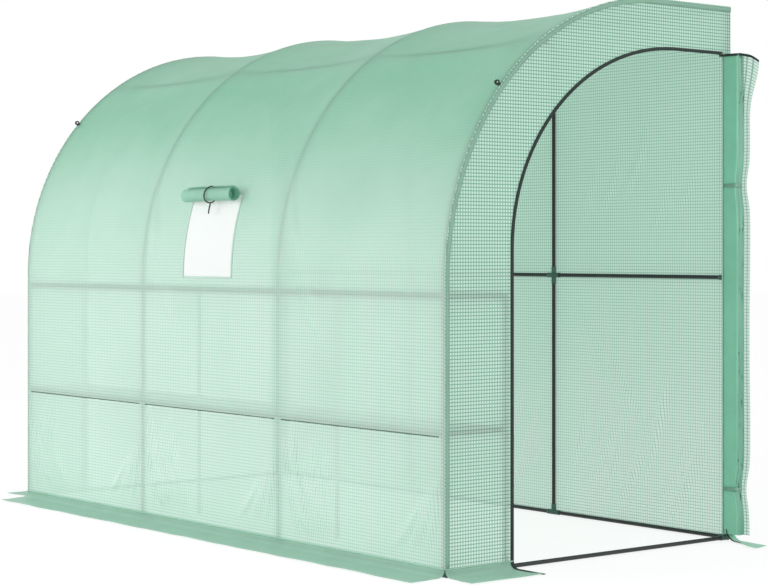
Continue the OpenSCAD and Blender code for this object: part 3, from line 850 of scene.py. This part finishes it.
foot_len = FOOT_TURN * math.pi / 2 + (flap_skirt[1][0] - end_x) - FOOT_TURN - 0.020
for side, name in ((1, "right"), (-1, "left")):
    u = np.linspace(0, foot_len, 34)
    v = np.linspace(0, 1, 14)
    uu, vv = np.meshgrid(u, v)
    reach, up = foot_section(uu)
    swing = smooth(0.05, foot_len, uu)
    y = flap_y[0] - 0.002 - 0.075 * swing + vv * (0.042 + 0.044 * swing)
    up = up + 0.003 * swing * (1 + waves(uu, 3 * vv * 0.06, 0.11, 61))
    points = np.stack([side * (end_x + reach - 0.02 * vv * swing), y, up], -1).reshape(-1, 3)
    piece = make_mesh(f"{name}_flap_foot", points, grid_faces(*uu.shape), None, fold_sheet)
    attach(piece, "root")
    if side > 0:
        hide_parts("flap_skirts")
    edge = points.reshape(*uu.shape, 3)[0, :16]
    piece = ribbon(f"{name}_foot_tape", edge + np.array([0, -0.002, 0.0015]),
                   edge + np.array([0, 0.007, 0.0015]), TAPE_THICK, tape_finish)
    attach(piece, "root")

# ---- Window ----
# The window is an opening in the eave, closed with white insect net sewn in
# under a folded hem. Its cover is rolled up above it and tied with a cord.
NET_LAP = 0.004
BORDER = 0.009
ROLL_CORE = 0.008
COVER_SPARE = 0.08
BRAID = 0.0024


def insect_net():
    # Knitted white polyethylene net: dense, matt and bright, with fine square holes.
    m, t, out = material("insect_net")
    uv = node(t, "UVMap", {"uv_map": "threads"}).outputs[0]
    # The real net has a thread each 1.2 mm; here one each 3 mm, which is as fine as shows.
    grid = node(t, "TexBrick", {"offset": 0.0}, Vector=uv, Scale=1.0, Mortar_Size=0.0005,
                Mortar_Smooth=0.3, Brick_Width=0.003, Row_Height=0.003)
    tone = node(t, "Mix", {"data_type": "RGBA"}, i0=grid.outputs["Fac"],
                i6=linear("#FDFBFD"), i7=linear("#FFFFFF"))
    bump = node(t, "Bump", Height=grid.outputs["Fac"], Strength=0.3, Distance=0.0003)
    thread = node(t, "BsdfDiffuse", Color=tone.outputs[2], Normal=bump.outputs[0])
    glow = node(t, "BsdfTranslucent", Color=tone.outputs[2], Normal=bump.outputs[0])
    body = node(t, "MixShader", Fac=0.35, i1=thread.outputs[0], i2=glow.outputs[0])
    hole = node(t, "BsdfTransparent", Color=linear("#FFFFFF"))
    see = node(t, "MapRange", Value=grid.outputs["Fac"], i3=0.10, i4=0.0)
    mix = node(t, "MixShader", Fac=see.outputs[0], i1=body.outputs[0], i2=hole.outputs[0])
    t.links.new(mix.outputs[0], out.inputs[0])
    return m


net_x = np.linspace(win_x[0] - NET_LAP, win_x[1] + NET_LAP, 36)
net_s = np.linspace(win_s[0] - NET_LAP, win_s[1] + NET_LAP, 40)
points, threads = front_points(net_x, net_s, -0.0012)
piece = make_mesh("window_net_mesh", points, grid_faces(len(net_s), len(net_x)), threads, insect_net())
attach(piece, "root")
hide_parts("window_net")


def hem_places(a, b, count, wall):
    """Places over a hem: evenly along it, or, across it, close to both edges."""
    if b - a > 2 * BORDER:
        return np.linspace(a, b, count)
    return np.array([a, a + wall, a + 0.002, b - 0.002, b - wall, b])


sides = {"left": (win_x[0] - BORDER, win_x[0], win_s[0] - BORDER, win_s[1] + BORDER),
         "right": (win_x[1], win_x[1] + BORDER, win_s[0] - BORDER, win_s[1] + BORDER),
         "foot": (win_x[0], win_x[1], win_s[0] - BORDER, win_s[0]),
         "head": (win_x[0], win_x[1], win_s[1], win_s[1] + BORDER)}
border_sheet = plain_sheet("window_hem_sheet", "#D3E9DF", 0.0, "#CFEFE0")
for place, (x0, x1, s0, s1) in sides.items():
    flat_x = hem_places(x0, x1, 30, 0.0)
    flat_s = hem_places(s0, s1, 40, 0.0002)
    top, _ = front_points(flat_x, flat_s, 0.0022)
    low, _ = front_points(flat_x, flat_s, 0.0002)
    top, low = (v.reshape(len(flat_s), len(flat_x), 3) for v in (top, low))
    rim = np.ones((len(flat_s), len(flat_x)), bool)
    rim[1:-1, 1:-1] = False
    top[rim] = low[rim]
    piece = make_mesh(f"window_hem_{place}", top.reshape(-1, 3), grid_faces(len(flat_s), len(flat_x)), None,
                      border_sheet)
    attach(piece, "root")

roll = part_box("window_roll")
roll_mid = [(a + b) / 2 for a, b in zip(*roll)]
roll_r = (roll[1][2] - roll[0][2]) / 2
cover_len = win_s[1] - win_s[0] + COVER_SPARE
coil_pitch = math.pi * (roll_r**2 - ROLL_CORE**2) / cover_len
turns = (roll_r - ROLL_CORE) / coil_pitch
angle = np.linspace(0, 2 * math.pi * turns, 150)
along = np.linspace(roll[0][0], roll[1][0], 44)
aa, xx = np.meshgrid(angle, along)
radius = ROLL_CORE + coil_pitch * aa / (2 * math.pi)
outer_turn = smooth(0.6, 1.0, radius / roll_r)
tie_mid = sum(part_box("window_tie")[k][0] for k in (0, 1)) / 2
pinch = 1 - 0.10 * np.exp(-((xx - tie_mid) / 0.020) ** 2) * outer_turn
radius = radius * pinch * (1 + 0.030 * outer_turn * waves(xx, aa * 0.02, 0.16, 71)) * 0.97
bow = 0.002 * np.sin((xx - roll[0][0]) * 8.0)
frayed = 0.004 * waves(aa * 0.02, 0 * aa, 0.09, 72) * (abs(xx - roll_mid[0]) > 0.16)
points = np.stack([xx + frayed, roll_mid[1] + radius * np.cos(aa + 0.8),
                   roll_mid[2] + bow + radius * np.sin(aa + 0.8)], -1).reshape(-1, 3)
roll_sheet = plain_sheet("rolled_polyethylene_sheet", "#A9DAC5", 0.04, "#CFEFE0")
piece = make_mesh("window_cover_roll", points, grid_faces(*aa.shape), None, roll_sheet)
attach(piece, "root")
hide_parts("window_roll")


def braided_cord():
    # Braided polyester cord: black with a fine slanted braid.
    m, t, out = material("braided_black_cord")
    place = node(t, "TexCoord").outputs["Object"]
    braid = node(t, "TexWave", {"bands_direction": "DIAGONAL"}, Vector=place,
                 Scale=math.tau / 10 / BRAID, Distortion=2.0)
    tone = node(t, "Mix", {"data_type": "RGBA"}, i0=braid.outputs["Fac"],
                i6=linear("#0B1512"), i7=linear("#22302B"))
    bump = node(t, "Bump", Height=braid.outputs["Fac"], Strength=0.6, Distance=0.0006)
    yarn = node(t, "BsdfPrincipled", Base_Color=tone.outputs[2], Roughness=0.7, Sheen_Weight=0.2,
                Normal=bump.outputs[0])
    t.links.new(yarn.outputs[0], out.inputs[0])
    return m


cord_finish = braided_cord()
cord_r = 0.0028
ring_r = roll_r * 0.90 + cord_r
circle = np.linspace(0, 2 * math.pi, 49)[:-1]
ring = np.stack([tie_mid + 0.009 * np.sin(circle), roll_mid[1] + ring_r * np.cos(circle),
                 roll_mid[2] + ring_r * np.sin(circle)], -1)
piece = tube_along("window_tie_loop", ring, cord_r, 10, cord_finish, closed=True)
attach(piece, "root")
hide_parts("window_tie")
tail_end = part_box("window_tie")[0][2]
drop = np.linspace(0, 1, 14)
tail_top = roll_mid[2] - ring_r
tail = np.stack([tie_mid + 0.004 - 0.006 * drop, roll_mid[1] - 0.006 * np.sin(drop * 1.6) - 0.004,
                 tail_top + (tail_end - tail_top) * drop], -1)
piece = tube_along("window_tie_tail", tail, cord_r, 10, cord_finish)
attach(piece, "root")

# ---- Guy loops ----
# A knotted loop of the same cord stands on each end hoop, to take a guy rope.
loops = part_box("guy_loops")
LOOP_CORD_R = 0.0026
KNOT_R = 0.0042
loop_y, loop_z = ((loops[0][k] + loops[1][k]) / 2 for k in (1, 2))
loop_r = (loops[1][2] - loops[0][2]) / 2 - 0.002
lean = math.atan2(loop_z - eave_z, eave_y - loop_y)
for h, name in ((hoop_x[0], "left"), (hoop_x[3], "right")):
    turn = np.linspace(0, 4 * math.pi, 90)
    reach = loop_r * (0.62 + 0.38 * np.cos(turn / 2) ** 2)
    path = np.stack([h + 0.0035 * np.sin(turn / 2) + 0.002 * np.cos(turn),
                     loop_y + reach * np.cos(turn), loop_z + reach * np.sin(turn)], -1)
    piece = tube_along(f"{name}_guy_loop", path, LOOP_CORD_R, 8, cord_finish)
    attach(piece, "root")
    if name == "left":
        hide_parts("guy_loops")
    foot = loop_r + 0.001
    base = np.array([h, loop_y + foot * math.cos(lean), loop_z - foot * math.sin(lean)])
    knot = []
    for a in np.linspace(0, 2 * math.pi, 60):
        knot.append(base + KNOT_R * np.array([math.sin(a) + 0.6 * math.sin(2 * a),
                                           math.cos(a) - 0.6 * math.cos(2 * a), 0.7 * math.sin(3 * a)]))
    piece = tube_along(f"{name}_guy_knot", knot[:-1], LOOP_CORD_R, 8, cord_finish, closed=True)
    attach(piece, "root")

# ---- Shelves ----
# Wire shelves lie on the staging rails: two thick edge wires with finer cross
# wires welded on every 30 mm. Galvanised steel, powder coated dark green.


def shelf_coat():
    # Powder coat on steel wire: dark green and satin, with a faint orange-peel.
    m, t, out = material("green_powder_coated_wire")
    place = node(t, "TexCoord").outputs["Object"]
    peel = node(t, "TexNoise", Vector=place, Scale=per_metre(0.833), Detail=2.0)
    patch = node(t, "TexNoise", Vector=place, Scale=per_metre(71.4), Detail=3.0)
    tone = node(t, "Mix", {"data_type": "RGBA"}, i0=patch.outputs["Fac"],
                i6=linear("#2C4A40"), i7=linear("#3A5D51"))
    bump = node(t, "Bump", Height=peel.outputs["Fac"], Strength=0.15, Distance=0.0002)
    coat = node(t, "BsdfPrincipled", Base_Color=tone.outputs[2], Roughness=0.4, Normal=bump.outputs[0])
    t.links.new(coat.outputs[0], out.inputs[0])
    return m


wire_coat = shelf_coat()
finish_nodes(["shelf_top", "shelf_low"], wire_coat)
WIRE_STEP = 0.030
WIRE_R = 0.0011
for name in ("shelf_top", "shelf_low"):
    low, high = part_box(name)
    level = (low[2] + high[2]) / 2
    verts, faces = [], []
    for k in range(3):
        start = hoop_x[k] + rim_gap
        stop = hoop_x[k + 1] - rim_gap
        count = int((stop - start) / WIRE_STEP)
        for n in range(1, count):
            x = start + (stop - start) * n / count
            base = len(verts)
            for y in (low[1] + 0.002, high[1] - 0.002):
                for a in np.arange(6) * math.pi / 3:
                    verts.append((x + WIRE_R * math.cos(a), y, level + WIRE_R * math.sin(a)))
            for a in range(6):
                b = (a + 1) % 6
                faces.append((base + a, base + b, base + 6 + b, base + 6 + a))
    piece = make_mesh(f"{name}_cross_wires", verts, faces, None, wire_coat)
    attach(piece, "root")

# ---- Floor, light and background ----
# Plain white floor and world; the light is soft and even, a little dimmer from
# straight above.


def seen_directly(tree):
    """1 for rays from the camera, off a shine or through clear film, else 0."""
    path = node(tree, "LightPath")
    seen = path.outputs["Is Camera Ray"]
    for ray in ("Is Glossy Ray", "Is Transmission Ray"):
        seen = node(tree, "Math", {"operation": "MAXIMUM"}, i0=seen, i1=path.outputs[ray]).outputs[0]
    return seen


floor_mesh = bpy.data.meshes.new("floor")
floor_mesh.from_pydata([(-40, -40, 0), (40, -40, 0), (40, 40, 0), (-40, 40, 0)], [], [(0, 1, 2, 3)])
floor = bpy.data.objects.new("floor", floor_mesh)
bpy.context.scene.collection.objects.link(floor)
m, t, out = material("white_floor")
paint = node(t, "BsdfDiffuse", Color=(0.86, 0.86, 0.86, 1.0))
shown = node(t, "BsdfDiffuse", Color=(0.26, 0.26, 0.26, 1.0))
lit = node(t, "Emission", Color=(1.0, 1.0, 1.0, 1.0), Strength=0.80)
both = node(t, "AddShader", i0=shown.outputs[0], i1=lit.outputs[0])
mix = node(t, "MixShader", Fac=seen_directly(t), i1=paint.outputs[0], i2=both.outputs[0])
t.links.new(mix.outputs[0], out.inputs[0])
floor_mesh.materials.append(m)

world = bpy.data.worlds.new("world")
bpy.context.scene.world = world
world.use_nodes = True
t = world.node_tree
t.nodes.clear()
out = t.nodes.new("ShaderNodeOutputWorld")
way = node(t, "TexCoord").outputs["Generated"]
split = node(t, "SeparateXYZ", Vector=way)
glow = node(t, "MapRange", Value=split.outputs[2], i1=0.0, i2=1.0, i3=1.3, i4=0.42)
soft = node(t, "Background", Color=(1.0, 1.0, 1.0, 1.0), Strength=glow.outputs[0])
plain = node(t, "Background", Color=(1.0, 1.0, 1.0, 1.0), Strength=1.0)
mix = node(t, "MixShader", Fac=seen_directly(t), i1=soft.outputs[0], i2=plain.outputs[0])
t.links.new(mix.outputs[0], out.inputs[0])

for name, size, energy, place, aim in (("key", (4.0, 3.0), 200.0, (-2.5, -7.0, 2.2), (0, 0, 1)),
                                       ("side", (3.0, 2.5), 120.0, (8.0, 1.0, 2.0), (1, 0, 1))):
    lamp_data = bpy.data.lights.new(name, "AREA")
    lamp_data.shape = "RECTANGLE"
    lamp_data.size, lamp_data.size_y = size
    lamp_data.energy = energy
    lamp = bpy.data.objects.new(name, lamp_data)
    lamp.location = place
    lamp.rotation_euler = (Vector(aim) - lamp.location).to_track_quat("-Z", "Y").to_euler()
    bpy.context.scene.collection.objects.link(lamp)

bpy.context.scene.view_settings.view_transform = "Standard"
